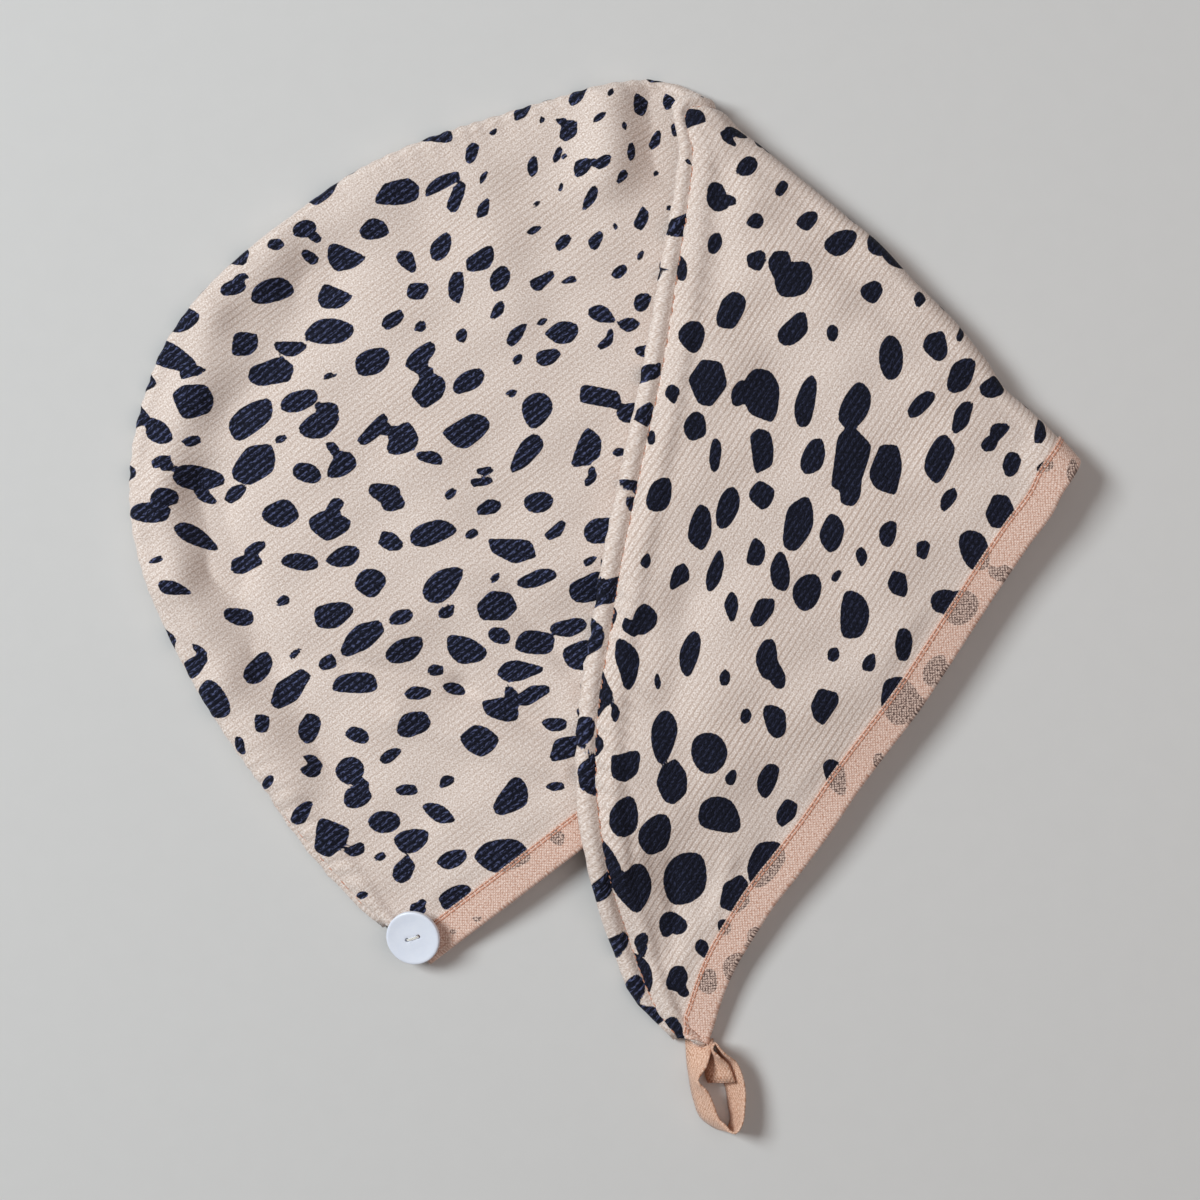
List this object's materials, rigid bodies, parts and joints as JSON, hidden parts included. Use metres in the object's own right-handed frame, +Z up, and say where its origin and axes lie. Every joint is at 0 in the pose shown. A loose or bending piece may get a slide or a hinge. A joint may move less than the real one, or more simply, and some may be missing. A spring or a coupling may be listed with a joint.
{
  "type": "hair turban towel",
  "caption": "Soft hair drying turban lying flat, its tapering tail folded over the crown, with a bound head opening, a sewn button at the nape and a tape loop at the tip.",
  "frame": {"origin": "on the table under the middle of the towel's bounding box", "axes": "+Z up from the table, +Y from the tail's tip towards the far side of the crown and the top of the fold, +X from the crown's rounded side towards the folded side"},
  "size_m": [0.3984, 0.4424, 0.0228],
  "materials": {
    "ribbed_microfibre": "soft ribbed knit, cream with dark navy spots",
    "satin_tape": "sheer peach satin",
    "twill_loop_tape": "peach twill",
    "polyester_button": "white, glossy",
    "polyester_thread": "cream sewing thread"
  },
  "bodies": {
    "root": {"back_panel": "ribbed_microfibre", "front_panel": "ribbed_microfibre", "back_hem_tape": "satin_tape", "front_hem_tape": "satin_tape", "tail_loop": "twill_loop_tape", "button": "polyester_button", "button_thread": "polyester_thread"}
  },
  "joints": []
}
